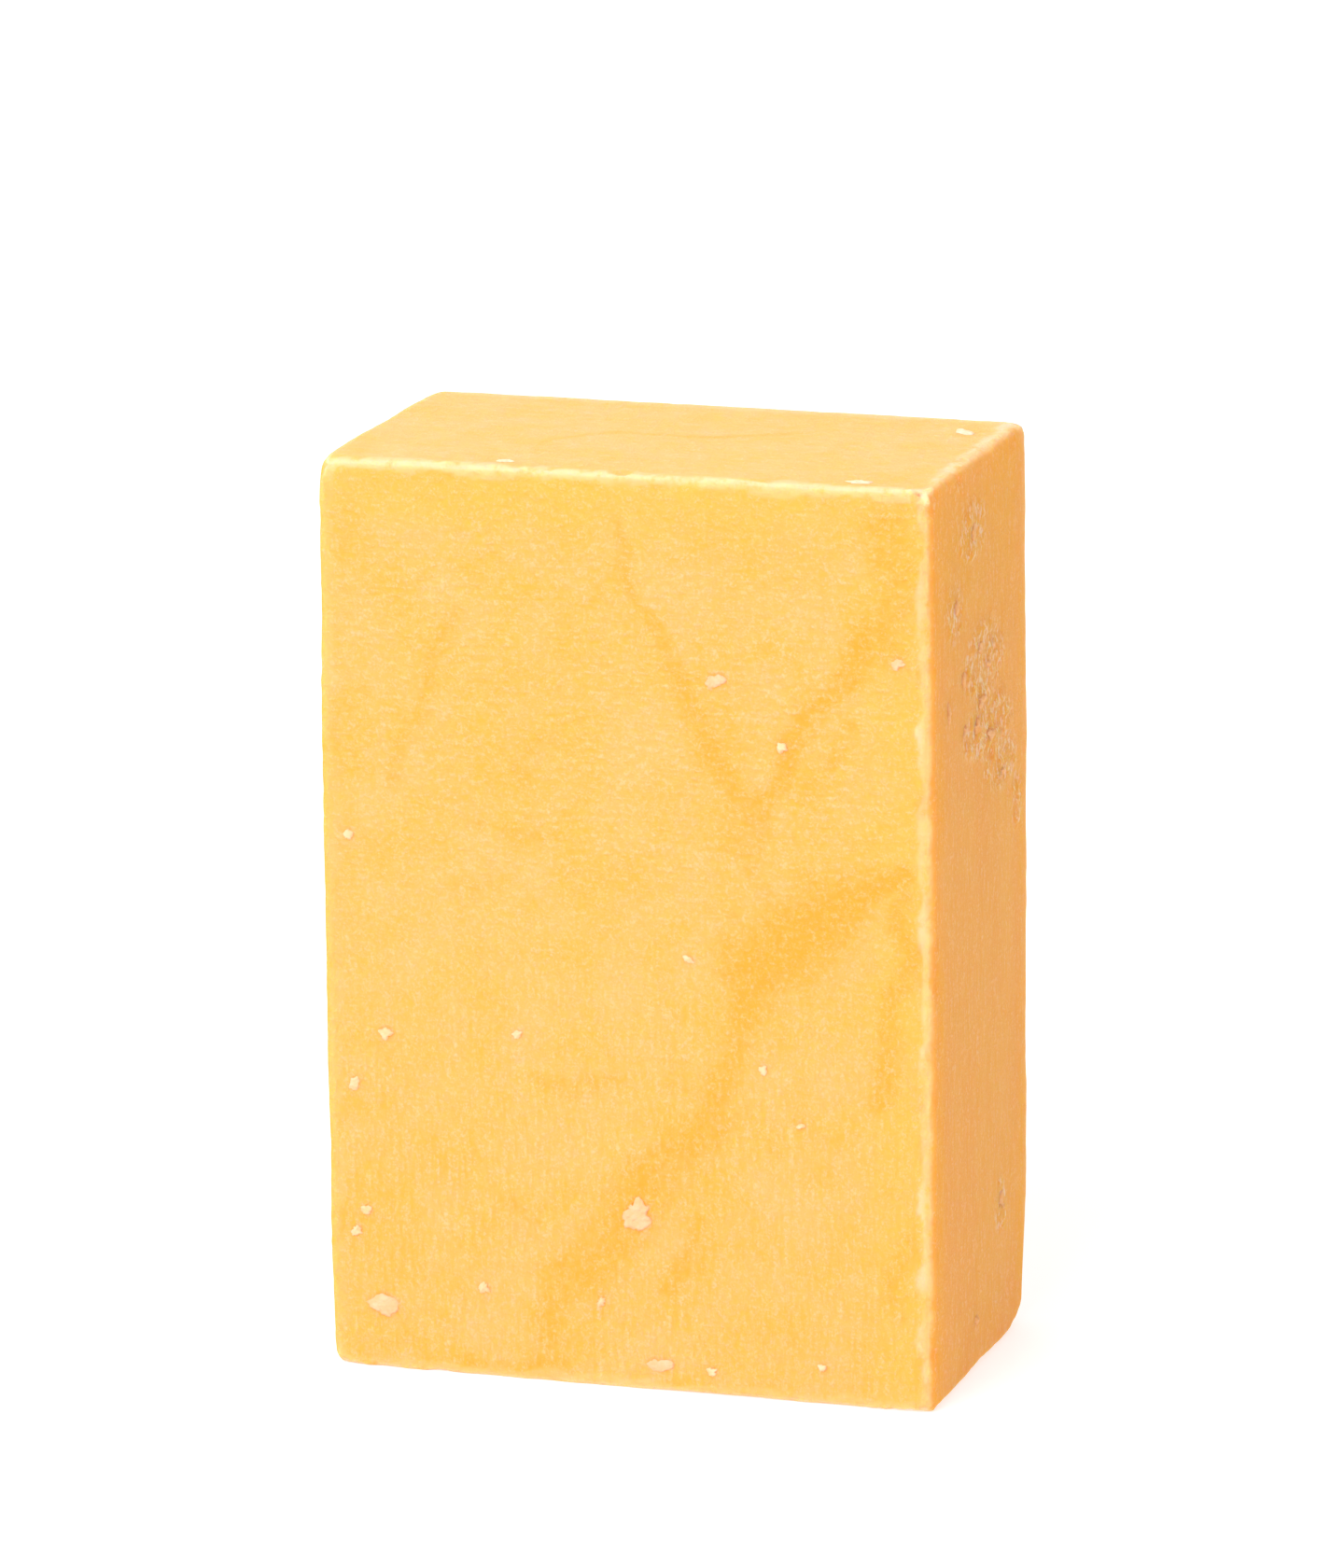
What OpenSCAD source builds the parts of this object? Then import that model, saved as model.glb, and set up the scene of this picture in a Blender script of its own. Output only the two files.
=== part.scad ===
// Clay bar: a hand-cut block of kneaded clay compound, standing on its end,
// with the flakes and crumbs of its own material that cling to its faces.
// Millimetres, +Z up. Origin: middle of the foot of the block.

/* [Block] */
// Width of the block, side to side
block_w = 54; // [40:1:90]
// Thickness of the block, front to back
block_d = 30; // [20:1:50]
// Height of the block, standing on its end
block_h = 81; // [55:1:130]
// Radius of the rubbed edges and corners
edge_r = 1.4; // [0.6:0.1:3]

/* [Flakes] */
// Thickness of a flake pressed flat on a face
flake_t = 0.3; // [0.2:0.05:0.8]
// Height of a crumb that stands on a face
crumb_t = 0.5; // [0.3:0.05:1]
// Size of every flake and crumb, as a share of the usual one
chip_scale = 1; // [0.6:0.05:1.2]

/* [Hidden] */

core_w = block_w - 2 * edge_r;
core_d = block_d - 2 * edge_r;
core_h = block_h - 2 * edge_r;
edge_fn = 48;

clay_yellow = [0.95, 0.70, 0.36];
dry_cream = [0.98, 0.84, 0.62];

// Chips on a face, one row each: where it lies across and up the flat part of the face,
// as shares from 0 to 1, then its length and its breadth in millimetres and its turn in degrees.
FRONT_FLAKES = [
    [0.515, 0.185, 2.6, 2.2, 60],
    [0.06, 0.055, 2.8, 1.7, -8],
    [0.66, 0.795, 1.9, 1.1, 20],
    [0.975, 0.825, 1.3, 0.8, 25],
    [0.55, 0.012, 2.8, 0.9, 0]
];
FRONT_CRUMBS = [
    [0.03, 0.165, 1.0, 0.9, 0],
    [0.012, 0.14, 1.0, 0.8, 30],
    [0.24, 0.085, 1.0, 0.9, 40],
    [0.01, 0.595, 0.9, 0.8, 0],
    [0.07, 0.37, 1.2, 1.0, 10],
    [0.012, 0.31, 1.2, 0.8, 70],
    [0.74, 0.36, 1.0, 0.7, 80],
    [0.775, 0.725, 1.1, 0.8, 30],
    [0.305, 0.38, 0.8, 0.7, 0],
    [0.61, 0.48, 1.0, 0.5, -30],
    [0.805, 0.30, 0.9, 0.5, 20],
    [0.45, 0.08, 0.9, 0.6, 60],
    [0.645, 0.01, 0.9, 0.7, 0],
    [0.84, 0.025, 0.8, 0.6, 0]
];
RIGHT_CRUMBS = [
    [0.225, 0.87, 1.3, 0.7, 75],
    [0.42, 0.94, 1.6, 1.0, 75],
    [0.64, 0.80, 0.9, 0.6, 80],
    [0.505, 0.805, 1.2, 0.8, 40],
    [0.30, 0.785, 1.7, 0.7, 87],
    [0.505, 0.745, 1.5, 0.9, 20],
    [0.59, 0.78, 0.9, 0.6, 0],
    [0.31, 0.725, 1.5, 0.7, 30],
    [0.455, 0.72, 1.4, 0.8, 60],
    [0.595, 0.70, 1.3, 0.9, 10],
    [0.735, 0.645, 1.4, 0.9, 20],
    [0.12, 0.76, 1.9, 0.5, 88],
    [0.72, 0.69, 1.1, 0.6, 80],
    [0.74, 0.15, 1.7, 0.8, 85],
    [0.45, 0.04, 1.0, 0.8, 0]
];
LEFT_CRUMBS = [
    [0.985, 0.93, 2.0, 0.9, 85],
    [0.97, 0.32, 1.6, 0.8, 80],
    [0.60, 0.72, 1.1, 0.8, 20],
    [0.35, 0.41, 1.4, 0.9, 60],
    [0.72, 0.18, 1.0, 0.8, 0],
    [0.18, 0.83, 0.9, 0.7, 40],
    [0.22, 0.12, 1.2, 0.7, 10]
];
BACK_CRUMBS = [
    [0.18, 0.78, 1.8, 1.2, 15],
    [0.63, 0.88, 1.0, 0.8, 50],
    [0.44, 0.61, 1.2, 0.8, 70],
    [0.82, 0.52, 2.2, 1.5, 20],
    [0.27, 0.37, 1.0, 0.9, 0],
    [0.56, 0.24, 1.4, 0.9, 35],
    [0.88, 0.15, 1.1, 0.8, 80],
    [0.12, 0.09, 2.0, 1.1, 5],
    [0.97, 0.90, 1.5, 0.8, 85]
];
TOP_FLAKES = [
    [0.90, 0.025, 2.6, 1.0, 0],
    [0.955, 0.84, 2.4, 1.2, -40],
    [0.285, 0.02, 1.6, 0.7, 5]
];

// Radius of a torn outline at the angle a: an ellipse with two ripples of its own on it.
function torn(a, l, b, turn) =
    let (r = 0.5 / sqrt(pow(cos(a) / l, 2) + pow(sin(a) / b, 2)))
    r * (1 + 0.09 * sin(3 * a + 7 * turn) + 0.06 * sin(5 * a + 11 * turn));

module chip(l, b, turn, t) {
    corners = 14;
    rotate(turn)
        linear_extrude(t)
            polygon([for (i = [0:corners - 1])
                let (a = 360 * i / corners, r = torn(a, l, b, turn) * chip_scale)
                [r * cos(a), r * sin(a)]]);
}

// Chips over a flat face that is w across and h up, in the face's own plane, standing out along +Z.
module scatter(chips, w, h, t) {
    for (c = chips)
        translate([(c[0] - 0.5) * w, (c[1] - 0.5) * h, 0])
            chip(c[2], c[3], c[4], t);
}

// Lays a face's own plane on a side of the block: 0 front, 90 right, 180 back, 270 left.
module on_side(turn, reach) {
    rotate(turn)
        translate([0, -reach, block_h / 2])
            rotate([90, 0, 0])
                children();
}

// A box with every edge and corner rounded by edge_r: three slabs, twelve rods and eight balls.
module rubbed_block() {
    translate([-block_w / 2, -core_d / 2, edge_r]) cube([block_w, core_d, core_h]);
    translate([-core_w / 2, -block_d / 2, edge_r]) cube([core_w, block_d, core_h]);
    translate([-core_w / 2, -core_d / 2, 0]) cube([core_w, core_d, block_h]);
    for (x = [-1, 1], y = [-1, 1])
        translate([x * core_w / 2, y * core_d / 2, edge_r])
            cylinder(h = core_h, r = edge_r, $fn = edge_fn);
    for (x = [-1, 1], z = [edge_r, block_h - edge_r])
        translate([x * core_w / 2, core_d / 2, z])
            rotate([90, 0, 0]) cylinder(h = core_d, r = edge_r, $fn = edge_fn);
    for (y = [-1, 1], z = [edge_r, block_h - edge_r])
        translate([-core_w / 2, y * core_d / 2, z])
            rotate([0, 90, 0]) cylinder(h = core_w, r = edge_r, $fn = edge_fn);
    for (x = [-1, 1], y = [-1, 1], z = [edge_r, block_h - edge_r])
        translate([x * core_w / 2, y * core_d / 2, z])
            sphere(r = edge_r, $fn = edge_fn);
}

module clay_block() {
    color(clay_yellow) rubbed_block();
}

module front_flakes() {
    color(dry_cream) on_side(0, block_d / 2) scatter(FRONT_FLAKES, core_w, core_h, flake_t);
}

module front_crumbs() {
    color(dry_cream) on_side(0, block_d / 2) scatter(FRONT_CRUMBS, core_w, core_h, crumb_t);
}

module right_side_crumbs() {
    color(clay_yellow) on_side(90, block_w / 2) scatter(RIGHT_CRUMBS, core_d, core_h, crumb_t);
}

module left_side_crumbs() {
    color(dry_cream) on_side(270, block_w / 2) scatter(LEFT_CRUMBS, core_d, core_h, crumb_t);
}

module back_crumbs() {
    color(dry_cream) on_side(180, block_d / 2) scatter(BACK_CRUMBS, core_w, core_h, crumb_t);
}

module top_flakes() {
    color(dry_cream) translate([0, 0, block_h]) scatter(TOP_FLAKES, core_w, core_d, flake_t);
}

clay_block();
front_flakes();
front_crumbs();
right_side_crumbs();
left_side_crumbs();
back_crumbs();
top_flakes();
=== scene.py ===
import functools
import math

import bpy
import numpy as np
from bpy.props import FloatProperty, FloatVectorProperty, IntProperty, PointerProperty
from mathutils import Matrix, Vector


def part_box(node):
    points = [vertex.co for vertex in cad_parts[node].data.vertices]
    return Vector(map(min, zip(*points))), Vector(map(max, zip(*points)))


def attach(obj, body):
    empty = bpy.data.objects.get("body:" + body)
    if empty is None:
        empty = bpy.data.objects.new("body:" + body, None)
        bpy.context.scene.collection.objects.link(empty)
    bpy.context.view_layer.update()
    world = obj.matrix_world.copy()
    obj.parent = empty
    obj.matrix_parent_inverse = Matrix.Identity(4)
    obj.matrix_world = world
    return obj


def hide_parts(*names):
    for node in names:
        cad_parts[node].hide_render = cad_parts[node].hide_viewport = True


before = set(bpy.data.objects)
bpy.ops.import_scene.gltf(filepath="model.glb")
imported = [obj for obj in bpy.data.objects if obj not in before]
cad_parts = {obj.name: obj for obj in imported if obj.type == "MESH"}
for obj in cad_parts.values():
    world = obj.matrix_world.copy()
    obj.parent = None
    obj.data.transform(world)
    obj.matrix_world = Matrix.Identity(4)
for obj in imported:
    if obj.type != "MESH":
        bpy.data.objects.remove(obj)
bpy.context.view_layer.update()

bl_info = {
    "name": "Clay Bar",
    "version": (1, 0, 0),
    "blender": (4, 5, 0),
    "location": "3D View > Sidebar > Clay Bar",
    "description": "A cut block of kneaded clay compound with its flakes and crumbs, on a pale floor",
    "category": "Add Mesh",
}

MM = 0.001
CLAY_NODE = "clay_block"
FLAKE_NODES = ("front_flakes", "top_flakes")
CRUMB_NODES = ("front_crumbs", "left_side_crumbs", "back_crumbs", "right_side_crumbs")
TORN_NODE = "right_side_crumbs"
WHITENED_NODE = "top_flakes"

# Turns points obliquely, so that noise in them doesn't line up with the faces of the block.
OBLIQUE = np.array([[2.0, 1.0, 2.0], [-2.0, 2.0, 1.0], [-1.0, -2.0, 2.0]]) / 3.0

# Which way each set of chips looks: the axis that it stands out along, and the sign of that axis.
CHIP_SIDES = {
    "front_flakes": (1, -1),
    "front_crumbs": (1, -1),
    "back_crumbs": (1, 1),
    "left_side_crumbs": (0, -1),
    "right_side_crumbs": (0, 1),
    "top_flakes": (2, 1),
}

# Streaks that kneading left in the front: how deep the colour is, then points of the streak in
# millimetres, each the way across from the middle, the height, and half the width there.
FRONT_STREAKS = (
    (0.55, ((-0.5, 77.5, 0.5), (0.5, 73.5, 0.6), (1.5, 70, 0.7), (4, 66, 0.8), (5.5, 62.5, 0.9),
            (7, 58.5, 1.0), (10, 54, 1.0), (12, 52, 1.2))),
    (0.4, ((7, 58.5, 0.9), (7, 55, 0.7))),
    (0.65, ((12, 52, 1.2), (13.5, 55, 1.2), (15.5, 58, 1.1), (18, 63, 1.2), (20.5, 65.5, 1.2),
            (23, 69, 1.4))),
    (0.55, ((23, 68, 2.0), (24, 72.5, 2.2), (23.5, 77.5, 2.0))),
    (0.45, ((12, 52, 1.2), (11.5, 49.5, 1.8), (12, 47, 1.0), (12.5, 44.5, 1.0))),
    (0.8, ((10.5, 34.5, 1.5), (12, 38.5, 2.9), (14.5, 41, 3.5), (17.5, 43, 2.8),
           (20.5, 45, 1.9), (24.5, 47.5, 1.1))),
    (0.6, ((25, 45, 0.9), (25, 40.5, 1.2), (24, 35.5, 1.2), (23, 30.5, 1.2), (22, 27, 0.8))),
    (0.6, ((10.5, 34.5, 1.6), (10, 30.5, 1.2), (9, 28, 1.1), (7.5, 24.5, 1.6), (4, 20.5, 2.3),
           (1, 17.5, 2.2), (-2.5, 12.5, 2.4), (-5.5, 10, 2.4))),
    (0.55, ((-5.5, 10, 2.2), (-7, 6.5, 1.4), (-7, 3, 1.1))),
    (0.5, ((6.5, 16, 0.8), (5, 12, 1.3), (3.5, 9, 1.0))),
    (0.35, ((3, 28.5, 0.8), (7.5, 25, 1.0))),
    (0.45, ((-15.5, 67.5, 0.8), (-18, 62, 0.9), (-19.5, 57, 0.9), (-20.5, 53, 0.9))),
    (0.4, ((-7, 57.5, 0.9), (-9.5, 53.5, 0.9))),
    (0.4, ((-14, 49.5, 0.7), (-6, 49, 0.9))),
    (0.3, ((-16, 43.5, 0.7), (-10, 44.5, 0.7))),
    (0.45, ((-9, 26.5, 0.7), (-4.5, 27, 0.9), (-1, 28.5, 0.6))),
    (0.4, ((-10.5, 15.5, 0.9), (-7.5, 14, 0.9))),
    (0.45, ((25, 16.5, 0.9), (24, 12, 1.2), (23.5, 8.5, 1.0))),
    (0.4, ((20.5, 60.5, 0.7), (16.5, 54, 0.8))),
    (0.5, ((-15.5, 1.6, 0.6), (-10, 1.4, 0.8), (-6, 1.8, 0.7))),
)

# Torn patches on the right side: the way back from the middle, the height, and the two half sizes
# of each patch, in millimetres.
TORN_PATCHES = (
    (1, 63, 7, 4),
    (2, 57, 9, 3),
    (6, 53, 6, 3),
    (11, 48.5, 2, 3),
    (-8, 69, 3, 3),
    (-2, 75, 5, 3),
    (6, 13, 2, 3),
)

# Every noise that shapes or marks the clay: the size of its cells in millimetres, either the same
# along every axis or one for each, and its seed. The axes of the folds and the sheet are the oblique
# ones. The rims of the chips are read round a circle, so the cells there have no unit.
WAVES = {
    "edge": (7.0, 3),
    "swell": (15.0, 11),
    "lump": (3.2, 12),
    "level drag": ((4.5, 3.0, 0.8), 21),
    "upright drag": ((0.9, 0.9, 5.0), 22),
    "scuff": (1.1, 23),
    "bead": (1.6, 31),
    "small bead": (0.6, 32),
    "fray": (2.4, 33),
    "small fray": (0.9, 34),
    "rim": (2.8, 35),
    "nick": (2.2, 41),
    "tear": ((1.0, 1.0, 1.5), 51),
    "small tear": (0.75, 52),
    "streak across": (4.0, 61),
    "small streak across": (1.3, 62),
    "streak up": (4.0, 63),
    "small streak up": (1.3, 64),
    "fold across": (17.0, 71),
    "fold back": (17.0, 72),
    "fold up": (17.0, 73),
    "sheet": ((19.0, 19.0, 30.0), 74),
    "sheet width": (11.0, 75),
    "sheet place": (21.0, 76),
    "chip rim": (1.0, 81),
    "small chip rim": (1.0, 82),
    "chip skin": (0.7, 83),
    "small chip skin": (0.3, 84),
    "moist": (3.0, 91),
    "deep": ((2.5, 2.5, 9.0), 92),
    "wall": ((4.0, 4.0, 12.0), 93),
}

# How near a point is to a wall runs from 0 to 1 between these distances to it, in millimetres.
WEAR_ZONE = (2.5, 0.5)
# How worn the block is away from its worn edges, along the front's four edges, and along the edge
# between the top and the right side.
LEAST_WEAR = 0.1
FRONT_WEAR = {"top": 0.9, "right": 0.7, "left": 0.2, "foot": 0.45}
TOP_RIGHT_WEAR = 0.7

# The corner that was knocked round is the right one at the back of the foot. The knock reaches
# further up than along, and rounds it by so many times the corner radius.
KNOCKED_CORNER = np.array([1.0, 1.0, -1.0])
KNOCK_STRETCH = np.array([1.0, 1.0, 2.2])
KNOCK_SHARE = 3.5
# No edge or corner is sharper than this radius, in millimetres.
LEAST_RADIUS = 0.5
# The block's mesh is fine from its edges to about this far from them, in millimetres.
FINE_BAND = 3.0

# A streak fades out at so many times its half width.
STREAK_FADE = 2.3
# The front's streaks give way to the folds inside between these two distances from the front, in
# millimetres.
STREAK_DEPTH = (1.5, 7.0)

# A chip is this many times as wide underneath as at its rim.
UNDER_RIM = 1.03
# Besides its own height, a chip's skin lies this far over the block's, in millimetres.
CHIP_LIFT = 0.02
# How far along its noise each chip's rim is read from that of the chip before it.
CHIP_APART = 7.3

# Each light's direction from the middle of the block, then how far it is and its width, in metres.
KEY_LIGHT = ((-0.25, -0.68, 0.69), 1.2, 0.8)
BACK_LIGHT = ((-0.28, 0.86, 0.42), 1.6, 1.4)


# ---------------------------------------------------------------- settings

def linear(code):
    """An sRGB hex code, such as #F3AD60, as linear red, green, blue and alpha."""
    parts = [int(code[i:i + 2], 16) / 255.0 for i in (1, 3, 5)]
    return tuple(c / 12.92 if c <= 0.04045 else ((c + 0.055) / 1.055) ** 2.4 for c in parts) + (1.0,)


def tint(name, description, code):
    """A setting for a colour, whose default is the sRGB hex code."""
    return FloatVectorProperty(name=name, description=description, default=linear(code)[:3],
                               size=3, min=0.0, max=1.0, subtype="COLOR")


class BlockSettings(bpy.types.PropertyGroup):
    """How the block is rubbed, worn and swollen, and how fine its mesh is"""
    edge_radius: FloatProperty(
        name="Edge radius", description="Radius of the rubbed edges",
        default=0.78 * MM, unit="LENGTH", subtype="DISTANCE")
    corner_radius: FloatProperty(
        name="Corner radius", description="How much more the corners are rubbed than the edges",
        default=0.5 * MM, unit="LENGTH", subtype="DISTANCE")
    lump_height: FloatProperty(
        name="Lump height", description="Height of the broad hollows and swells of the faces",
        default=0.14 * MM, unit="LENGTH", subtype="DISTANCE")
    grain_height: FloatProperty(
        name="Grain height", description="Height of the drag marks that the cutting wire left",
        default=0.025 * MM, unit="LENGTH", subtype="DISTANCE")
    burr_height: FloatProperty(
        name="Burr height", description="How far the ragged burr stands out along the edges",
        default=0.3 * MM, unit="LENGTH", subtype="DISTANCE")
    nick_depth: FloatProperty(
        name="Nick depth", description="How deep the nicks bite into the edges",
        default=0.55 * MM, unit="LENGTH", subtype="DISTANCE")
    pit_depth: FloatProperty(
        name="Pit depth", description="How deep the torn pits of the right side go",
        default=0.5 * MM, unit="LENGTH", subtype="DISTANCE")
    belly: FloatProperty(
        name="Belly", description="How far the sides swell out at half height",
        default=0.2 * MM, unit="LENGTH", subtype="DISTANCE")
    fullness: FloatProperty(
        name="Fullness", description="How far the soft sides stand out all over",
        default=0.35 * MM, unit="LENGTH", subtype="DISTANCE")
    fine_step: FloatProperty(
        name="Step at the edges", description="Mesh spacing along the edges",
        default=0.2 * MM, unit="LENGTH", subtype="DISTANCE")
    coarse_step: FloatVectorProperty(
        name="Step on the faces",
        description="Mesh spacing in the middle of the faces, across, front to back and upwards",
        default=(0.6 * MM, 0.36 * MM, 0.5 * MM), size=3, unit="LENGTH", subtype="XYZ")


class ChipSettings(bpy.types.PropertyGroup):
    """How thick and how ragged the flakes and crumbs are, and how fine their meshes are"""
    rings: IntProperty(
        name="Rings", description="Rings of points from the middle of a chip to its rim",
        default=9, min=4, max=24)
    corners: IntProperty(
        name="Corners", description="Points round the rim of a chip",
        default=40, min=12, max=96)
    ragged: FloatProperty(
        name="Ragged rim", description="How far the rim wanders, as a share of its radius",
        default=0.32, min=0.0, max=0.5, subtype="FACTOR")
    height_share: FloatProperty(
        name="Height share", description="How much of its CAD thickness a chip keeps",
        default=0.45, min=0.1, max=1.0, subtype="FACTOR")
    sink: FloatProperty(
        name="Sink", description="How deep a chip's underside lies in the block",
        default=0.25 * MM, unit="LENGTH", subtype="DISTANCE")


class ColourSettings(bpy.types.PropertyGroup):
    """The colours of each finish: its body, its pale mottling, its dry skin, and the clay's others"""
    clay_body: tint("Clay", "The kneaded clay of the block", "#F0AB4E")
    clay_mottle: tint("Clay mottling", "The pale mottling of the block", "#F0B272")
    clay_dry: tint("Clay dry skin", "The dry skin along the block's worn edges", "#F7C69C")
    # Besides the streaks, this colour paints glow: the sides' stronger orange near the front, the back
    # and the top.
    clay_streak: tint("Clay streaks", "The kneaded streaks and the deep parts", "#F0A33E")
    # Painted shade: the sides take this darker, more orange colour for the shade on them.
    clay_wall: tint("Clay sides", "The denser sides, which the wire pressed", "#EFA050")
    # Painted glow: this yellower colour stands for light shining through the compound, on the sides and
    # on the front's top and right.
    clay_glow_zone: tint("Clay waxy parts", "The waxy parts of the sides and the front", "#F2B452")
    flake_body: tint("Flake", "The flakes pressed on the front", "#F3B27E")
    flake_mottle: tint("Flake mottling", "The pale mottling of those flakes", "#F3B68A")
    flake_dry: tint("Flake dry skin", "The dry skin of those flakes", "#F5BF98")
    rind_body: tint("Rind", "The whitened flakes on the top", "#F8CFA4")
    rind_mottle: tint("Rind mottling", "The pale mottling of the whitened flakes", "#FAD8B4")
    rind_dry: tint("Rind dry skin", "The dry skin of the whitened flakes", "#FCE6CE")
    crumb_body: tint("Crumb", "The crumbs of the front, the left side and the back", "#F6BC86")
    crumb_mottle: tint("Crumb mottling", "The pale mottling of those crumbs", "#F8C698")
    crumb_dry: tint("Crumb dry skin", "The dry skin of those crumbs", "#F9CFA8")
    torn_body: tint("Torn crumb", "The torn crumbs of the right side", "#F4AE66")
    torn_mottle: tint("Torn crumb mottling", "The pale mottling of the torn crumbs", "#F5B87E")
    torn_dry: tint("Torn crumb dry skin", "The dry skin of the torn crumbs", "#F8C598")


class StageSettings(bpy.types.PropertyGroup):
    """The floor, the camera and the light"""
    floor_size: FloatProperty(
        name="Floor size", description="Side of the square floor",
        default=6.0, unit="LENGTH", subtype="DISTANCE")
    view_turn: FloatProperty(
        name="View turn", description="How far round to the right the camera stands",
        default=math.radians(17.72), unit="ROTATION", subtype="ANGLE")
    view_drop: FloatProperty(
        name="View drop", description="How far the camera looks down",
        default=math.radians(13.59), unit="ROTATION", subtype="ANGLE")
    view_roll: FloatProperty(
        name="View roll", description="How far the camera leans to one side",
        default=math.radians(-0.54), unit="ROTATION", subtype="ANGLE")
    view_distance: FloatProperty(
        name="View distance", description="From the camera to the middle of the block",
        default=0.7834, unit="LENGTH", subtype="DISTANCE")
    view_right: FloatProperty(
        name="View right", description="How far right of the block's middle the camera aims",
        default=-0.55 * MM, unit="LENGTH", subtype="DISTANCE")
    view_up: FloatProperty(
        name="View up", description="How far above the block's middle the camera aims",
        default=9.75 * MM, unit="LENGTH", subtype="DISTANCE")
    lens: FloatProperty(
        name="Lens", description="Focal length of the camera in millimetres",
        default=206.0, min=20.0, max=400.0)
    key_power: FloatProperty(
        name="Key power", description="Power of the broad light from the upper front left, in watts",
        default=15.2, min=0.0)
    back_power: FloatProperty(
        name="Back power", description="Power of the broad light behind, over the top, in watts",
        default=6.1, min=0.0)
    sky: FloatProperty(
        name="Sky", description="Brightness of the even white light from all round",
        default=0.69, min=0.0)
    floor_glow: FloatProperty(
        name="Floor glow", description="Light of the back-lit floor itself",
        default=0.61, min=0.0)


# ---------------------------------------------------------------- numbers and noise

def ease(x, low, high):
    """Runs smoothly from 0 at low to 1 at high, level at both ends; low may be the greater."""
    t = np.clip((x - low) / (high - low), 0.0, 1.0)
    return t * t * (3.0 - 2.0 * t)


def scatter_number(cells, seed):
    """A fixed number from -1 to 1 for each cell corner, mixed from its whole numbers and the seed."""
    mixed = cells[:, 0] * 374761393 + cells[:, 1] * 668265263 + cells[:, 2] * 1103515245
    mixed = (mixed + seed * 1274126177) & 0xFFFFFFFF
    mixed = ((mixed ^ (mixed >> 13)) * 1274126177) & 0xFFFFFFFF
    mixed = mixed ^ (mixed >> 16)
    return mixed / 2147483648.0 - 1.0


def noise(p, cell, seed):
    """Smooth noise from -1 to 1: the numbers at the corners of p's cell, blended by its place there."""
    q = p / np.asarray(cell, float)
    base = np.floor(q).astype(np.int64)
    part = q - base
    part = part * part * part * (part * (part * 6.0 - 15.0) + 10.0)
    total = np.zeros(len(p))
    for corner in np.ndindex(2, 2, 2):
        weight = np.prod(np.where(np.array(corner, bool), part, 1.0 - part), axis=1)
        total += weight * scatter_number(base + np.array(corner), seed)
    return total


def layered(p, cell, seed, layers=3):
    """Noise in layers: each is half the size and half the height of the one before it."""
    total = np.zeros(len(p))
    for i in range(layers):
        total += 0.5 ** i * noise(p, np.asarray(cell, float) / 2 ** i, seed + 17 * i)
    return total / (2.0 - 0.5 ** (layers - 1))


def wave(p, name):
    """The named noise at p, from -1 to 1."""
    return noise(p, *WAVES[name])


# ---------------------------------------------------------------- shapes

def spread(length, fine, coarse, band):
    """Places from 0 to length: about fine apart at both ends, coarse apart further in than band."""
    s = np.linspace(0.0, length, 4001)
    inner = np.minimum(s, length - s)
    density = 1.0 / (fine + (coarse - fine) * ease(inner, 0.25 * band, band))
    count = np.concatenate([[0.0], np.cumsum(0.5 * (density[1:] + density[:-1]) * np.diff(s))])
    steps = int(math.ceil(count[-1]))
    return np.interp(np.linspace(0.0, count[-1], steps + 1), count, s)


def box_skin(size, fine, coarse, band):
    """The closed skin of a box centred on 0, as points and four-sided faces that look outwards.

    Each face of the box is a grid of the two axes that it spans. A point's key is its three places
    along the axes, so points that two or three faces share have one key and are kept once."""
    axes = [spread(length, fine, step, band) for length, step in zip(size, coarse)]
    last = [len(a) - 1 for a in axes]
    keys = []
    for axis in range(3):
        across, up = (axis + 1) % 3, (axis + 2) % 3
        i, j = np.meshgrid(np.arange(last[across]), np.arange(last[up]), indexing="ij")
        for end in (0, 1):
            loop = ((0, 0), (1, 0), (1, 1), (0, 1)) if end else ((0, 0), (0, 1), (1, 1), (1, 0))
            quad = np.zeros(i.shape + (4, 3), np.int64)
            quad[..., axis] = end * last[axis]
            for k, (di, dj) in enumerate(loop):
                quad[..., k, across] = i + di
                quad[..., k, up] = j + dj
            keys.append(quad.reshape(-1, 4, 3))
    keys = np.concatenate(keys)
    flat = (keys[..., 0] * (last[1] + 1) + keys[..., 1]) * (last[2] + 1) + keys[..., 2]
    _, first, faces = np.unique(flat.ravel(), return_index=True, return_inverse=True)
    chosen = keys.reshape(-1, 3)[first]
    points = np.stack([axes[a][chosen[:, a]] - 0.5 * size[a] for a in range(3)], axis=1)
    return points, faces.reshape(-1, 4)


def block_measures(settings):
    """The block's centre and half sizes from its CAD node, and its settings, all in millimetres."""
    low, high = (np.array(corner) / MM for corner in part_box(CLAY_NODE))
    names = ("edge_radius", "corner_radius", "lump_height", "grain_height", "burr_height",
             "nick_depth", "pit_depth", "belly", "fullness", "fine_step")
    measures = {name: getattr(settings, name) / MM for name in names}
    measures["coarse_step"] = np.array(settings.coarse_step) / MM
    measures["centre"] = 0.5 * (low + high)
    measures["half"] = 0.5 * (high - low)
    return measures


def torn_patch(p):
    """1 in the middle of each torn patch of the right side, falling to 0 at its rim."""
    mask = np.zeros(len(p))
    for back, height, half_back, half_height in TORN_PATCHES:
        away = ((p[:, 1] - back) / half_back) ** 2 + ((p[:, 2] - height) / half_height) ** 2
        mask = np.maximum(mask, 1.0 - away)
    return mask


def wall_distances(p, half):
    """How far each point p of the box is from each of its six walls, by the wall's name."""
    walls = dict(zip(("left", "front", "foot"), (half + p).T))
    walls.update(zip(("right", "back", "top"), (half - p).T))
    return walls


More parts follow.
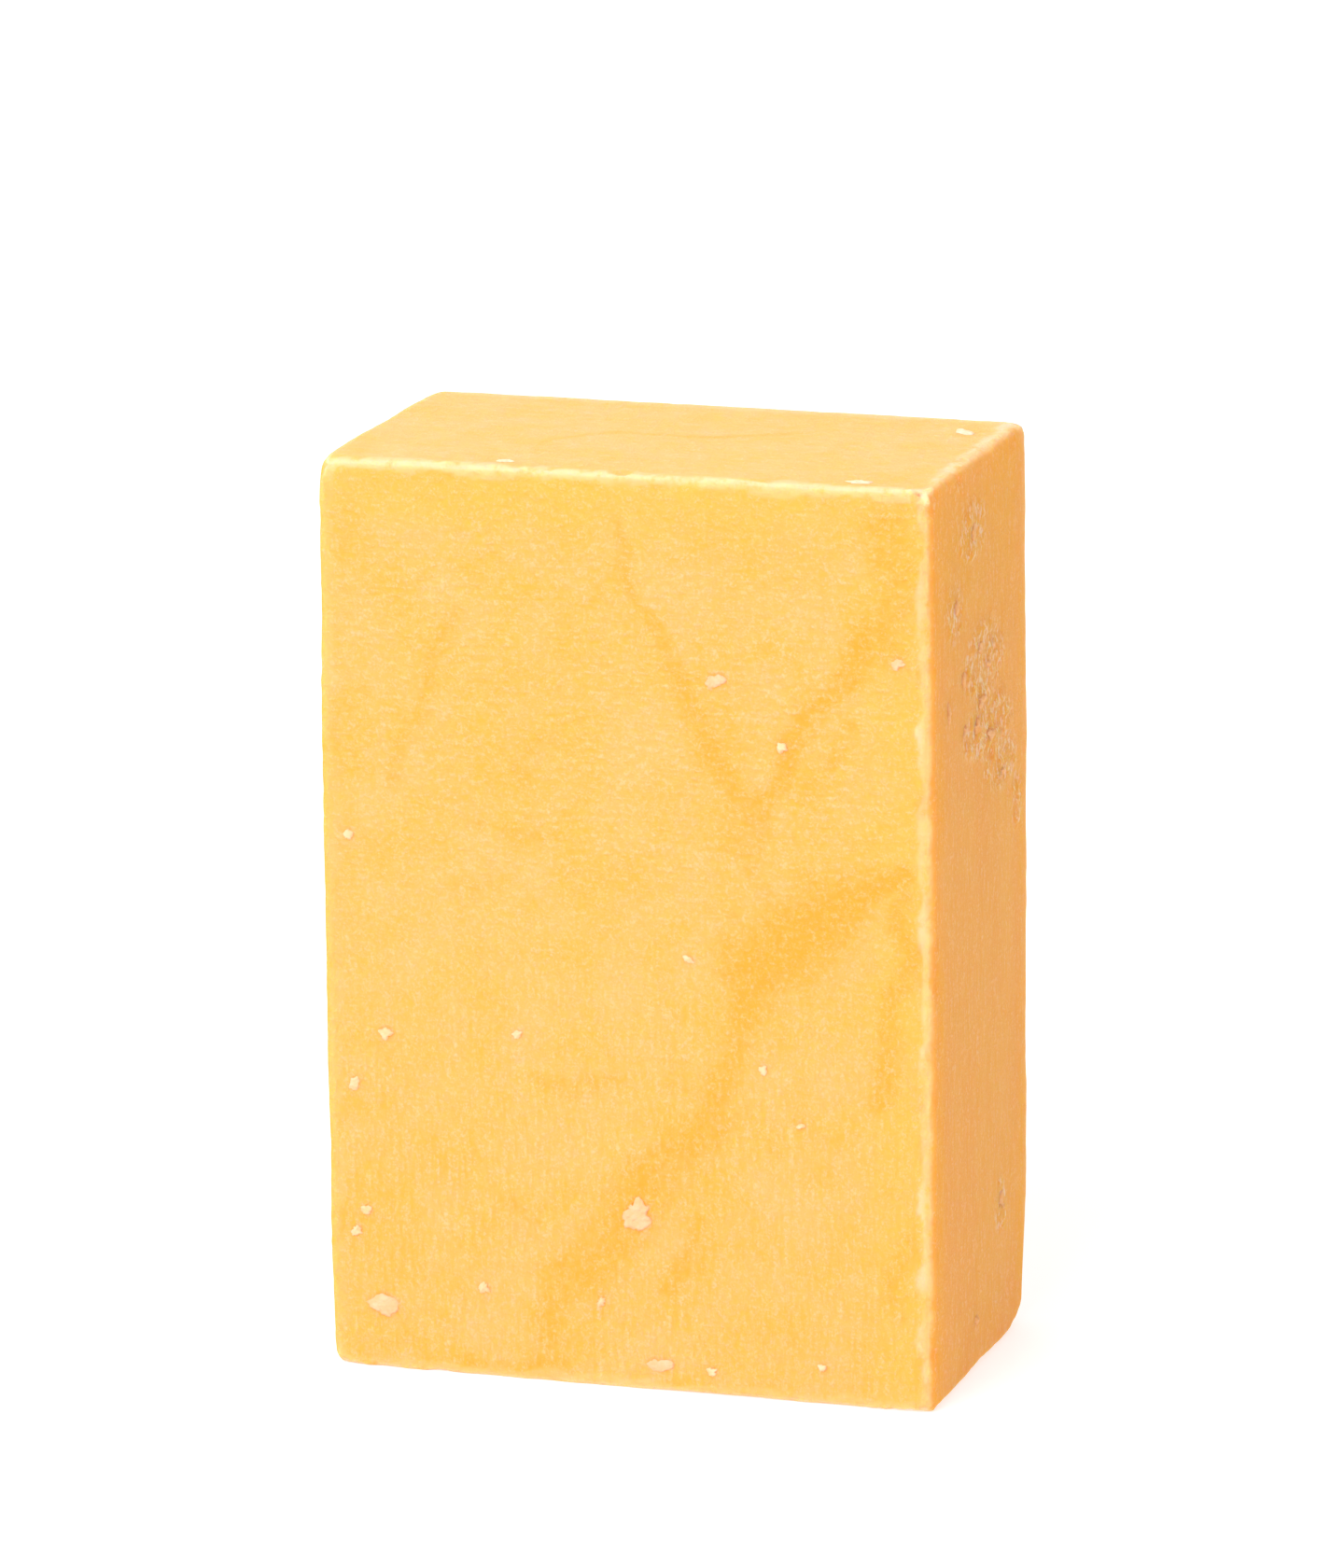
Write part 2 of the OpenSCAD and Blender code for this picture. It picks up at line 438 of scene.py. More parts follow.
def looking(out):
    """How squarely an outward line looks each way: the square of its part along that way."""
    looks = dict(zip(("right", "back", "top"), np.maximum(out, 0.0).T ** 2))
    looks.update(zip(("left", "front", "foot"), np.maximum(-out, 0.0).T ** 2))
    looks["side"] = looks["left"] + looks["right"]
    return looks


def rounded_box(p, to_corner, m):
    """The box's skin with round edges: its held points, their radii and their outward lines.

    Each point is held back from the walls by its radius. Set out again by that radius, along the
    line to where it was, it lies on the round. The radius is the edge radius, up to a quarter more
    or less as a noise goes, plus the corner radius at each corner, and the knock's at its corner."""
    half = m["half"]
    to_knock = np.linalg.norm((p - half * KNOCKED_CORNER) / KNOCK_STRETCH, axis=1)
    radius = m["edge_radius"] * (1.0 + 0.25 * wave(p, "edge"))
    radius += m["corner_radius"] * ease(to_corner, 3.0, 0.0)
    radius += KNOCK_SHARE * m["corner_radius"] * ease(to_knock, 6.0, 0.0)
    radius = np.maximum(radius, LEAST_RADIUS)[:, None]
    held = np.clip(p, radius - half, half - radius)
    out = p - held
    out /= np.linalg.norm(out, axis=1)[:, None]
    return held, radius, out


def edge_wear(near):
    """How worn the block is, from near, which says how near each wall is: the worn edges' shares."""
    front_edges = sum(share * near[name] for name, share in FRONT_WEAR.items())
    return LEAST_WEAR + near["front"] * front_edges + TOP_RIGHT_WEAR * near["top"] * near["right"]


def face_relief(p, up, to_edge, looks, m):
    """How high the faces stand: their swell, plus broad lumps, plus the marks that the wire dragged.

    The sides bulge by the belly, as a parabola over the height. The back and the top swell most at
    the left and at the back. The lumps sink to 0.3 of their height at an edge. The drag marks are
    level on the front, the top and the foot, and upright elsewhere. The foot has a tenth of all of it."""
    half = m["half"]
    swell = (m["belly"] * (1.0 - (p[:, 2] / half[2]) ** 2) + m["fullness"]) * looks["side"]
    slope = 0.5 - 0.25 * p[:, 0] / half[0] + 0.25 * p[:, 1] / half[1]
    swell += m["fullness"] * slope * (looks["back"] + 1.1 * looks["top"])
    lumps = m["lump_height"] * (layered(p, *WAVES["swell"]) + 0.3 * wave(p, "lump"))
    lumps *= 0.3 + 0.7 * ease(to_edge, 0.0, 9.0)
    level = wave(up, "level drag") * (looks["front"] + looks["top"] + looks["foot"])
    upright = wave(up, "upright drag") * (looks["side"] + looks["back"])
    drag = m["grain_height"] * (level + 1.3 * upright + 0.8 * wave(p, "scuff"))
    return (swell + lumps + drag) * (1.0 - 0.9 * looks["foot"])


def edge_relief(p, to_edge, worn, m):
    """How high the worn edges stand: beads of burr within 1 mm of the edge, less nicks in 1.6 mm."""
    beads = np.clip(0.7 * wave(p, "bead") + 0.5 * wave(p, "small bead") + 0.35, 0.0, 1.0)
    burr = m["burr_height"] * ease(to_edge, 1.0, 0.1) * beads
    bites = np.clip(1.6 * layered(p, *WAVES["nick"], 2) - 0.3, 0.0, 1.0)
    nicks = m["nick_depth"] * ease(to_edge, 1.6, 0.2) * bites
    return worn * (burr - nicks)


def torn_relief(up, patch, m):
    """How high the torn patches stand: crusts where the tearing noise is low, pits where it's high."""
    tear = wave(up, "tear") + 0.5 * wave(up, "small tear")
    crusts = 0.9 * np.clip(-tear - 0.2, 0.0, 0.6)
    pits = 0.4 * np.clip(tear - 0.45, 0.0, 0.5)
    return m["pit_depth"] * ease(patch, 0.0, 0.5) * (crusts - pits)


def clay_marks(p, up, walls, near, to_edge, worn, looks, patch):
    """What the clay is like at each point, as numbers from 0 to 1 that its material reads.

    dry: the pale skin of the worn edges, of the frayed bands along the right edges of the front and
    the top, and of the back's top and right edges, and a painted sheen a little all over the top.
    torn: the torn patches. The sides' mark is painted shade, a darker, more orange colour all over
    them. deep: painted glow, the sides' stronger colour near the front, the back and the top. The
    glow mark is painted glow, yellower and less mottled, on the sides and the front's top and right.
    upright: where the wire ran upright, on the sides and low on the front."""
    # Painted glow: yellower where light shines through the compound, on the front near its top and right
    # edges, and on the sides, most near the top.
    glow_zone = np.maximum(ease(walls["top"], 7.0, 1.0), 0.8 * ease(walls["right"], 8.0, 1.5))
    glow_zone = np.maximum(glow_zone * looks["front"],
                      looks["side"] * (0.7 + 0.3 * ease(walls["top"], 12.0, 2.0)))
    # Painted glow on the sides: strongest near the front, the back and the top, where light shines
    # through the compound.
    shine_through = np.maximum(ease(walls["front"], 4.5, 1.5), 0.9 * ease(walls["back"], 4.5, 1.5))
    shine_through = np.maximum(shine_through, 0.8 * ease(walls["top"], 22.0, 4.0)) + 0.1
    fray = 0.5 * wave(p, "fray") + 0.35 * wave(p, "small fray")
    rim = worn * (0.5 * ease(to_edge + fray, 1.1, 0.8) + 0.7 * ease(to_edge, 0.5, 0.15))
    rim *= 1.0 - 0.9 * np.maximum(looks["side"], ease(walls["right"], 1.6, 1.1) * looks["front"])
    band = np.maximum(looks["front"] * ease(walls["right"] + 0.9 * fray, 1.0, 0.55),
                      looks["top"] * ease(walls["right"] + 1.1 * fray, 1.5, 0.8))
    rim = np.maximum(rim, (0.65 + 0.5 * wave(p, "rim")) * band)
    back_edges = near["back"] * (0.5 * near["top"] + 0.3 * near["right"])
    marks = {
        # dry: the dry skin of the worn edges, and a painted sheen that makes the whole top a little
        # paler.
        "dry": rim + back_edges + 0.15 * looks["top"],
        "torn": ease(patch, 0.0, 0.45),
        # Painted shade all over the sides, a little uneven.
        "wall": looks["side"] * (0.9 + 0.25 * wave(up, "wall")),
        # Painted glow on the sides, strongest near the front, the back and the top.
        "deep": looks["side"] * shine_through * (0.8 + 0.5 * wave(up, "deep")),
        # Painted glow on the front's top and right and on the sides.
        "moist": glow_zone * (0.8 + 0.4 * wave(p, "moist")),
        "upright": looks["side"] + ease(up[:, 2], 55.0, 20.0) * looks["front"],
    }
    return {name: np.clip(values, 0.0, 1.0) for name, values in marks.items()}


def block_surface(p, m):
    """Where each point p of the plain box's skin lies on the block, its outward line and its marks.

    From the rounded box it moves along its outward line by the relief of the faces, of the worn
    edges and of the torn patches together. The foot stays flat."""
    half = m["half"]
    up = p + [0.0, 0.0, half[2]]
    walls = wall_distances(p, half)
    near = {name: ease(distance, *WEAR_ZONE) for name, distance in walls.items()}
    worn = edge_wear(near)
    to_edge, to_corner = np.sort(half - np.abs(p), axis=1)[:, 1:].T
    held, radius, out = rounded_box(p, to_corner, m)
    looks = looking(out)
    patch = torn_patch(up) * looks["right"]
    height = face_relief(p, up, to_edge, looks, m) + edge_relief(p, to_edge, worn, m)
    height += torn_relief(up, patch, m)
    surface = held + out * (radius + height[:, None])
    surface[:, 2] = np.maximum(surface[:, 2], -half[2])
    marks = clay_marks(p, up, walls, near, to_edge, worn, looks, patch)
    return surface + m["centre"], out, marks


def front_streak_depth(p):
    """How deep the front's streaks are at p: for each, its depth on its line, easing to 0 beside it.

    Two noises move the point first, which frays the streak."""
    across = p[:, 0] + 0.9 * wave(p, "streak across") + 0.35 * wave(p, "small streak across")
    height = p[:, 2] + 0.9 * wave(p, "streak up") + 0.35 * wave(p, "small streak up")
    deepest = np.zeros(len(p))
    for depth, line in FRONT_STREAKS:
        for (x0, z0, w0), (x1, z1, w1) in zip(line[:-1], line[1:]):
            length2 = (x1 - x0) ** 2 + (z1 - z0) ** 2
            t = np.clip(((across - x0) * (x1 - x0) + (height - z0) * (z1 - z0)) / length2, 0.0, 1.0)
            away = np.hypot(across - x0 - t * (x1 - x0), height - z0 - t * (z1 - z0))
            width = STREAK_FADE * (w0 + t * (w1 - w0))
            deepest = np.maximum(deepest, depth * ease(away / width, 1.0, 0.05))
    return deepest


def streak_depth(p, m):
    """How deep the colour of the kneaded streaks is at p, from 0 to 1.

    Near the front it is the front's streaks. Further back it is the thin sheet where a slow noise,
    bent by three others, passes through 0, as folding makes it."""
    oblique = p @ OBLIQUE
    bends = [wave(oblique, name) for name in ("fold across", "fold back", "fold up")]
    folded = oblique + 5.0 * np.stack(bends, axis=1)
    sheet = np.abs(layered(folded, *WAVES["sheet"], 2))
    width = 0.1 + 0.05 * wave(folded, "sheet width")
    inside = ease(sheet / width, 1.0, 0.1) * ease(wave(p, "sheet place"), -0.5, 0.3)
    back = ease(p[:, 1] + m["half"][1], *STREAK_DEPTH)
    return front_streak_depth(p) * (1.0 - back) + 0.6 * inside * back


# ---------------------------------------------------------------- meshes and objects

def mesh_object(name, points, faces, attributes, material):
    """A smooth mesh object at the origin from points in millimetres, faces, and one number a point."""
    mesh = bpy.data.meshes.new(name)
    mesh.from_pydata((points * MM).tolist(), [], [f for group in faces for f in group.tolist()])
    for key, values in attributes.items():
        layer = mesh.attributes.new(key, "FLOAT", "POINT")
        layer.data.foreach_set("value", np.asarray(values, np.float32))
    mesh.materials.append(material)
    mesh.shade_smooth()
    mesh.validate()
    piece = bpy.data.objects.new(name, mesh)
    bpy.context.scene.collection.objects.link(piece)
    return piece


def chip_islands(node):
    """The middle and the points of each separate solid in a CAD node, in millimetres.

    Every point starts as its own island, and takes the lowest number among its neighbours' until
    nothing changes."""
    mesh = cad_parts[node].data
    points = np.empty(3 * len(mesh.vertices), np.float32)
    mesh.vertices.foreach_get("co", points)
    points = points.reshape(-1, 3).astype(float) / MM
    spots, same = np.unique(np.round(points, 2), axis=0, return_inverse=True)
    same = same.ravel()
    edges = np.empty(2 * len(mesh.edges), np.int32)
    mesh.edges.foreach_get("vertices", edges)
    a, b = same[edges.reshape(-1, 2)].T
    island = np.arange(len(spots))
    while True:
        before = island.copy()
        lowest = np.minimum(island[a], island[b])
        np.minimum.at(island, a, lowest)
        np.minimum.at(island, b, lowest)
        if np.array_equal(before, island):
            break
    return [spots[island == k] for k in np.unique(island)]


def chip_rim(flat, settings, seed):
    """The turns round a chip at its rim's corners, and the rim's radius at each.

    The radius is that of the CAD solid's outer points, seen flat, moved in and out by two noises
    that are read round a circle."""
    angles = np.arctan2(flat[:, 1], flat[:, 0])
    radii = np.hypot(flat[:, 0], flat[:, 1])
    outer = radii > 0.3 * radii.max()
    order = np.argsort(angles[outer])
    turn = np.linspace(0.0, 2.0 * math.pi, settings.corners, endpoint=False)
    rim = np.interp(turn, angles[outer][order] % (2.0 * math.pi), radii[outer][order],
                    period=2.0 * math.pi)
    circle = np.stack([np.cos(turn), np.sin(turn), np.full(len(turn), CHIP_APART * seed)], axis=1)
    return turn, rim * (1.0 + settings.ragged * wave(circle * 2.0, "chip rim")
                        + 0.5 * settings.ragged * wave(circle * 5.0, "small chip rim"))


def chip_surface(island, axis, sign, m, settings, seed):
    """One torn chip that lies on the block, as points and faces.

    The rows run from the middle to the rim, and back underneath; the columns run round the rim. At
    the share s of the rim's radius the height over the block's skin is the chip's thickness times
    (1 - s to the power 2.5) to the power 0.7, and roughened. The underside is sunk in the block."""
    across, up = [a for a in range(3) if a != axis]
    middle = 0.5 * (island.min(axis=0) + island.max(axis=0))
    thick = settings.height_share * np.ptp(island[:, axis])
    turn, rim = chip_rim(island[:, [across, up]] - middle[[across, up]], settings, seed)

    share = np.concatenate([np.linspace(0.0, 1.0, settings.rings), [UNDER_RIM, 0.0]])
    rise = np.maximum(1.0 - share ** 2.5, 0.0) ** 0.7
    reach = share[:, None] * rim[None, :]
    on_box = np.zeros(reach.shape + (3,))
    on_box[..., across] = middle[across] + reach * np.cos(turn)
    on_box[..., up] = middle[up] + reach * np.sin(turn)
    on_box = np.clip(on_box.reshape(-1, 3) - m["centre"], -m["half"], m["half"])
    on_box[:, axis] = sign * m["half"][axis]
    skin, out, _ = block_surface(on_box, m)
    rough = 0.75 + 0.35 * wave(skin, "chip skin") + 0.25 * wave(skin, "small chip skin")
    lift = thick * rise[:, None] * np.clip(rough, 0.25, 1.2).reshape(reach.shape) + CHIP_LIFT
    lift[-2] = -0.5 * settings.sink / MM
    lift[-1] = -settings.sink / MM
    points = skin + out * lift.reshape(-1, 1)

    # The first row and the last are each one point, so they are kept once and closed with triangles.
    grid = np.arange(reach.size).reshape(reach.shape)
    beside = np.roll(grid, -1, axis=1)
    first, last = (np.full(settings.corners, row[0]) for row in (grid[0], grid[-1]))
    faces = [np.stack([grid[2:-1], beside[2:-1], beside[1:-2], grid[1:-2]], axis=-1).reshape(-1, 4),
             np.stack([grid[1], beside[1], first], axis=-1),
             np.stack([last, beside[-2], grid[-2]], axis=-1)]
    if (sign > 0) == (axis == 1):
        faces = [group[:, ::-1] for group in faces]
    used = np.concatenate([[grid[0, 0]], grid[1:-1].ravel(), [grid[-1, 0]]])
    number = np.full(reach.size, -1)
    number[used] = np.arange(len(used))
    return points[used], [number[group] for group in faces]


def add_chips(node, material, block, settings):
    """The Blender piece of one CAD node of chips: every chip of it, seated on the block's skin."""
    axis, sign = CHIP_SIDES[node]
    points, faces, count = [], [], 0
    for i, island in enumerate(chip_islands(node)):
        p, f = chip_surface(island, axis, sign, block, settings, i + 1)
        points.append(p)
        faces.extend(group + count for group in f)
        count += len(p)
    piece = mesh_object(node + "_torn", np.concatenate(points), faces, {}, material)
    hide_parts(node)
    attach(piece, "root")
    return piece


# ---------------------------------------------------------------- materials

# All inputs of a Math node have one name, and those of a Mix node share theirs between numbers and
# colours, so both are counted. These are the Mix node's; its output for numbers is the first.
FACTOR = 0
NUMBER_A, NUMBER_B = 2, 3
COLOUR_A, COLOUR_B, COLOUR_RESULT = 6, 7, 2


def add_node(tree, kind, inputs, output=0, **settings):
    """Adds a node, gives it its settings, links or sets each of its inputs, and returns an output."""
    made = tree.nodes.new("ShaderNode" + kind)
    for name, value in settings.items():
        setattr(made, name, value)
    for name, value in inputs.items():
        if isinstance(value, bpy.types.NodeSocket):
            tree.links.new(value, made.inputs[name])
        else:
            made.inputs[name].default_value = value
    return made.outputs[output] if made.outputs else None


def speckle(tree, spot, size, detail, low, high, stretch=(1.0, 1.0, 1.0)):
    """A noise pattern with grain of size millimetres, longer by the stretch along each axis.

    It runs smoothly from 0, where the noise is low, to 1, where it is high."""
    scale = tuple(1.0 / (size * share) for share in stretch)
    turned = add_node(tree, "Mapping", {"Vector": spot, "Scale": scale})
    wavy = add_node(tree, "TexNoise",
                    {"Vector": turned, "Scale": 1.0, "Detail": detail, "Roughness": 0.6})
    return add_node(tree, "MapRange", {"Value": wavy, "From Min": low, "From Max": high},
                    interpolation_type="SMOOTHSTEP")


def clay_compound(name, finish, marked):
    """Kneaded clay compound, cut with a wire: wax-like, a little see-through, with paler dry parts.

    finish says which of the colour settings it takes. marked is true on the block, whose points
    carry streak, dry with a painted sheen on the top, torn, the sides' painted shade, deep and the
    glow mark, which are painted glow, and upright."""
    settings = bpy.context.scene.claybar_colours
    colours = {part: tuple(getattr(settings, finish + "_" + part)) + (1.0,)
               for part in ("body", "mottle", "dry") + (("streak", "wall", "glow_zone") if marked else ())}
    material = bpy.data.materials.new(name)
    material.use_nodes = True
    tree = material.node_tree
    tree.nodes.clear()
    node = functools.partial(add_node, tree)
    place = node("TexCoord", {}, output="Object")
    # In millimetres from the origin.
    spot = node("Mapping", {"Vector": place, "Scale": (1 / MM, 1 / MM, 1 / MM)})
    grain = functools.partial(speckle, tree, spot)

    # Cloudy mottling, about 4 mm across, then grit of 0.5 mm, and grain of 0.25 mm. The wire dragged
    # it three times as long across, or on the block's upright parts five times as long upwards.
    clouds = grain(4.2, 7.0, 0.34, 0.7)
    grit = grain(0.5, 5.0, 0.38, 0.66)
    fine = grain(0.25, 2.0, 0.3, 0.7)
    drag = grain(0.5, 4.0, 0.33, 0.67, stretch=(3.0, 2.0, 1.0))
    if marked:
        # Of these marks, dry also holds a painted sheen on the top, the sides' mark is painted shade, and
        # deep and the glow mark are painted glow.
        streaked, dried, torn, side_shade_mask, deep, moist, upright = (
            node("Attribute", {}, output="Fac", attribute_name=key)
            for key in ("streak", "dry", "torn", "wall", "deep", "moist", "upright"))
        upwards = grain(0.5, 3.0, 0.33, 0.67, stretch=(1.0, 1.0, 5.0))
        drag = node("Mix", {FACTOR: upright, NUMBER_A: drag, NUMBER_B: upwards}, data_type="FLOAT")

    # Pale mottling, which the painted glow hides.
    pale = node("Math", {0: clouds, 1: 0.5, 2: -0.1}, operation="MULTIPLY_ADD")
    pale = node("Math", {0: drag, 1: 0.3, 2: pale}, operation="MULTIPLY_ADD")
    pale = node("Math", {0: grit, 1: 0.3, 2: pale}, operation="MULTIPLY_ADD", use_clamp=True)
    if marked:
        shown = node("Math", {0: moist, 1: -0.65, 2: 1.0}, operation="MULTIPLY_ADD")
        pale = node("Math", {0: pale, 1: shown}, operation="MULTIPLY")
    colour = node("Mix", {FACTOR: pale, COLOUR_A: colours["body"], COLOUR_B: colours["mottle"]},
                  data_type="RGBA", output=COLOUR_RESULT)

    # The dry skin is ash-pale in patches. On the block it is on the worn edges, in the specks of the
    # torn patches and, as a painted sheen, a little over the top; under it lie the painted glow, the
    # streaks, the sides' painted shade and the painted glow of the deep parts.
    if marked:
        patches = grain(1.1, 4.0, 0.18, 0.55)
        edges = node("Math", {0: dried, 1: patches}, operation="MULTIPLY", use_clamp=True)
        bits = grain(0.42, 3.0, 0.5, 0.62, stretch=(1.0, 1.0, 1.8))
        specks = node("Math", {0: torn, 1: bits}, operation="MULTIPLY")
        ash = node("Math", {0: edges, 1: specks}, operation="MAXIMUM")
        frayed = node("Math", {0: grain(0.8, 4.0, 0.3, 0.7), 1: 0.25, 2: streaked},
                      operation="MULTIPLY_ADD")
        depth = node("MapRange", {"Value": frayed, "From Min": 0.2, "From Max": 1.0},
                     interpolation_type="SMOOTHSTEP")
        # The painted glow, the streaks, the sides' painted shade and the deep parts' painted glow are
        # mixed in, in that order.
        glow_share = node("Math", {0: moist, 1: 0.5}, operation="MULTIPLY")
        deep_glow_share = node("Math", {0: deep, 1: 0.85}, operation="MULTIPLY")
        for share, part in ((glow_share, "glow_zone"), (depth, "streak"), (side_shade_mask, "wall"),
                            (deep_glow_share, "streak")):
            colour = node("Mix", {FACTOR: share, COLOUR_A: colour, COLOUR_B: colours[part]},
                          data_type="RGBA", output=COLOUR_RESULT)
    else:
        ash = grain(0.7, 3.0, 0.35, 0.75)
    flecks = node("Math", {0: fine, 1: grit}, operation="MULTIPLY")
    flecks = node("Math", {0: flecks, 1: drag}, operation="MULTIPLY")
    flecks = node("Math", {0: flecks, 1: 0.6}, operation="MULTIPLY")
    powder = node("Math", {0: ash, 1: flecks}, operation="MAXIMUM")
    colour = node("Mix", {FACTOR: powder, COLOUR_A: colour, COLOUR_B: colours["dry"]},
                  data_type="RGBA", output=COLOUR_RESULT)

    # Heights in millimetres.
    height = node("Math", {0: drag, 1: 0.05}, operation="MULTIPLY")
    height = node("Math", {0: grit, 1: 0.04, 2: height}, operation="MULTIPLY_ADD")
    height = node("Math", {0: fine, 1: 0.02, 2: height}, operation="MULTIPLY_ADD")
    height = node("Math", {0: ash, 1: 0.05, 2: height}, operation="MULTIPLY_ADD")
    if marked:
        ripped = node("Math", {0: torn, 1: grain(0.7, 4.0, 0.35, 0.7)}, operation="MULTIPLY")
        height = node("Math", {0: ripped, 1: 0.1, 2: height}, operation="MULTIPLY_ADD")
    bump = node("Bump", {"Height": height, "Distance": MM, "Strength": 0.9})

    # Dry skin and grit are matt, and the rest has a dull sheen.
    matt = node("Math", {0: grit, 1: 0.4, 2: ash}, operation="MULTIPLY_ADD")
    rough = node("MapRange", {"Value": matt, "To Min": 0.42, "To Max": 0.75})
    # Red light goes furthest in the compound. A chip is thinner than that, so it has none of it.
    surface = node("BsdfPrincipled",
                   {"Base Color": colour, "Roughness": rough, "IOR": 1.47,
                    "Specular IOR Level": 0.012, "Normal": bump,
                    "Subsurface Weight": 0.7 if marked else 0.0,
                    "Subsurface Radius": (4.2, 1.8, 0.4), "Subsurface Scale": MM})
    node("OutputMaterial", {"Surface": surface})
    return material


def studio_floor(glow):
    """Matt white acrylic sheet, lit from below: it shows almost no shadow."""
    material = bpy.data.materials.new("backlit white acrylic")
    material.use_nodes = True
    shader = material.node_tree.nodes["Principled BSDF"]
    shader.inputs["Base Color"].default_value = linear("#BCBCBC")
    shader.inputs["Roughness"].default_value = 0.9
    shader.inputs["Emission Color"].default_value = linear("#FFFFFF")
    shader.inputs["Emission Strength"].default_value = glow
    return material


# ---------------------------------------------------------------- light and camera

def facing(place, right, up, ahead):
    """The matrix that puts a camera or light at place, looking ahead, with its top towards up."""
    matrix = Matrix.Identity(4)
    for column, axis in enumerate((right, up, -ahead, place)):
        for row in range(3):
            matrix[row][column] = axis[row]
    return matrix


def unit(x, y, z):
    """The direction of x, y, z, of length 1."""
    return np.array([x, y, z]) / math.sqrt(x * x + y * y + z * z)


def add_light(name, target, stand, power):
    """A square soft light that looks at target, and stands from it as stand says."""
    direction, away, size = stand
    place = target + away * unit(*direction)
    light = bpy.data.lights.new(name, "AREA")
    light.shape = "SQUARE"
    light.size = size
    light.energy = power
    lamp = bpy.data.objects.new(name, light)
    ahead = (target - place) / np.linalg.norm(target - place)
    right = np.cross(ahead, [0.0, 0.0, 1.0])
    right /= np.linalg.norm(right)
    lamp.matrix_world = facing(place, right, np.cross(right, ahead), ahead)
    bpy.context.scene.collection.objects.link(lamp)
    return lamp


def add_camera(scene, settings, middle):
    """The camera, turned round the block to the right, looking down on it and slightly rolled."""
    turn, drop, roll = settings.view_turn, settings.view_drop, settings.view_roll
    ahead = np.array([-math.sin(turn) * math.cos(drop), math.cos(turn) * math.cos(drop),
                      -math.sin(drop)])
    level = np.array([math.cos(turn), math.sin(turn), 0.0])
    above = np.cross(level, ahead)
    right = level * math.cos(roll) + above * math.sin(roll)
    up = above * math.cos(roll) - level * math.sin(roll)
    place = middle + settings.view_right * right + settings.view_up * up
    place = place - settings.view_distance * ahead
    lens = bpy.data.cameras.new("camera")
    lens.sensor_width = 36.0
    lens.lens = settings.lens
    camera = bpy.data.objects.new("camera", lens)
    camera.matrix_world = facing(place, right, up, ahead)
    scene.collection.objects.link(camera)
    scene.camera = camera
    return camera


# ---------------------------------------------------------------- operators

class CLAYBAR_OT_block(bpy.types.Operator):
    """Add the block of clay compound in place of its plain CAD solid"""
    bl_idname = "claybar.block"
    bl_label = "Clay block"

    def execute(self, context):
        m = block_measures(context.scene.claybar_block)
        plain, quads = box_skin(2.0 * m["half"], m["fine_step"], m["coarse_step"], FINE_BAND)
        points, _, marks = block_surface(plain, m)
        marks["streak"] = streak_depth(points - m["centre"] + [0.0, 0.0, m["half"][2]], m)
        material = clay_compound("kneaded clay compound", "clay", True)
        piece = mesh_object("clay_block_cut", points, [quads], marks, material)
        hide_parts(CLAY_NODE)
        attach(piece, "root")
        return {"FINISHED"}


class CLAYBAR_OT_flakes(bpy.types.Operator):
    """Add the thin dry flakes that are pressed flat on the front and on the top"""
    bl_idname = "claybar.flakes"
    bl_label = "Dry flakes"

    def execute(self, context):
        pressed = clay_compound("dried clay flake", "flake", False)
        whitened = clay_compound("whitened clay rind", "rind", False)
        block = block_measures(context.scene.claybar_block)
        for node in FLAKE_NODES:
            material = whitened if node == WHITENED_NODE else pressed
            add_chips(node, material, block, context.scene.claybar_chips)
        return {"FINISHED"}


class CLAYBAR_OT_crumbs(bpy.types.Operator):
    """Add the crumbs that stand on the front, the sides and the back"""
    bl_idname = "claybar.crumbs"
    bl_label = "Crumbs"

    def execute(self, context):
        pale = clay_compound("dried clay crumb", "crumb", False)
        torn = clay_compound("torn clay crumb", "torn", False)
        block = block_measures(context.scene.claybar_block)
        for node in CRUMB_NODES:
            material, slot = (torn, "side_crumb") if node == TORN_NODE else (pale, "dry_flake")
            add_chips(node, material, block, context.scene.claybar_chips)
        return {"FINISHED"}


